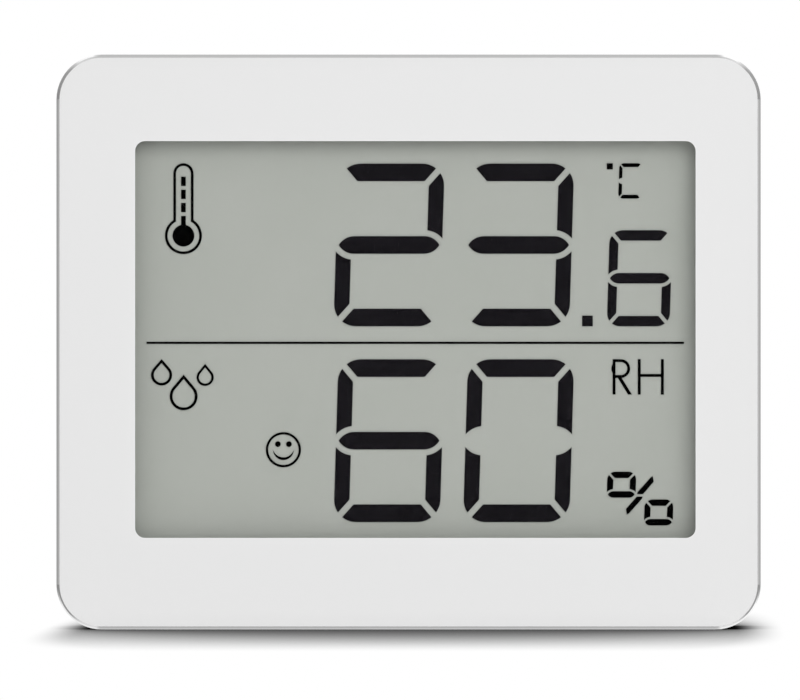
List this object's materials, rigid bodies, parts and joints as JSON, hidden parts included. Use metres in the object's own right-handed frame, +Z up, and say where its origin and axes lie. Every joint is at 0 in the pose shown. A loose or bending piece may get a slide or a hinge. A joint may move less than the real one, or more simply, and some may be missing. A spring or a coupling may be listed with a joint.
{
  "type": "thermo-hygrometer",
  "caption": "Slim desk thermo-hygrometer: clear-fronted rounded case, dark seven-bar display, folding back stand, sliding coin-cell door, press buttons and keyhole.",
  "frame": {"origin": "middle of the base, on the surface it stands on", "axes": "+X to the right seen from the front, +Y from the front to the back, +Z up"},
  "size_m": [0.098, 0.014, 0.08],
  "materials": {
    "clear_acrylic": "clear gloss",
    "face_print": "even pale grey print",
    "adhesive_tape": "matte",
    "case_plastic": "fine moulded texture",
    "polariser_film": "clear satin",
    "display_glass": "clear gloss",
    "display_dark": "dark bars",
    "seal_resin": "cured resin",
    "display_grey": "grey reflective background",
    "reflector_film": "satin silver film",
    "connector_rubber": "striped rubber",
    "foam": "closed-cell foam",
    "board_laminate": "solder mask",
    "screw_steel": "zinc plated",
    "chip_resin": "glossy resin",
    "component_ceramic": "ceramic",
    "tinned_metal": "tinned",
    "sensor_ceramic": "glazed ceramic",
    "sensor_plastic": "moulded",
    "switch_plastic": "moulded",
    "button_plastic": "satin",
    "cell_can": "bright drawn metal"
  },
  "bodies": {
    "case": {"front_panel": "clear_acrylic", "panel_film": "face_print", "panel_tape": "adhesive_tape", "front_frame": "case_plastic", "lcd_front_polariser": "polariser_film", "lcd_front_glass": "display_glass", "lcd_temperature_digits": "display_dark", "lcd_humidity_digits": "display_dark", "lcd_symbols": "display_dark", "lcd_seal": "seal_resin", "lcd_rear_glass": "display_grey", "lcd_reflector": "reflector_film", "zebra_strip": "connector_rubber", "lcd_cushions": "foam", "circuit_board": "board_laminate", "board_screws": "screw_steel", "chip_blob": "chip_resin", "board_components": "component_ceramic", "clock_crystal": "tinned_metal", "humidity_sensor": "sensor_ceramic", "sensor_cap": "sensor_plastic", "thermistor": "chip_resin", "switch_bodies": "switch_plastic", "cell_holder": "switch_plastic", "cell_contact_positive": "tinned_metal", "cell_contact_negative": "tinned_metal", "coin_cell": "cell_can", "rear_cover": "case_plastic", "case_screws": "screw_steel"},
    "stand_leg": {"stand": "case_plastic"},
    "door": {"battery_door": "case_plastic"},
    "unit_key": {"unit_button": "button_plastic", "unit_switch_plunger": "switch_plastic"},
    "memory_key": {"memory_button": "button_plastic", "memory_switch_plunger": "switch_plastic"}
  },
  "joints": [
    {"name": "stand_hinge", "type": "hinge", "parent": "case", "child": "stand_leg", "pos_m": [0, 0.0056, 0.0445], "axis": [1, 0, 0], "range_deg": [0, 32]},
    {"name": "door_slide", "type": "slide", "parent": "case", "child": "door", "axis": [0, 0, 1], "range_m": [0, 0.034]},
    {"name": "unit_press", "type": "slide", "parent": "case", "child": "unit_key", "axis": [0, -1, 0], "range_m": [0, 0.0003], "stiffness_N_per_m": 1500},
    {"name": "memory_press", "type": "slide", "parent": "case", "child": "memory_key", "axis": [0, -1, 0], "range_m": [0, 0.0003], "stiffness_N_per_m": 1500}
  ]
}
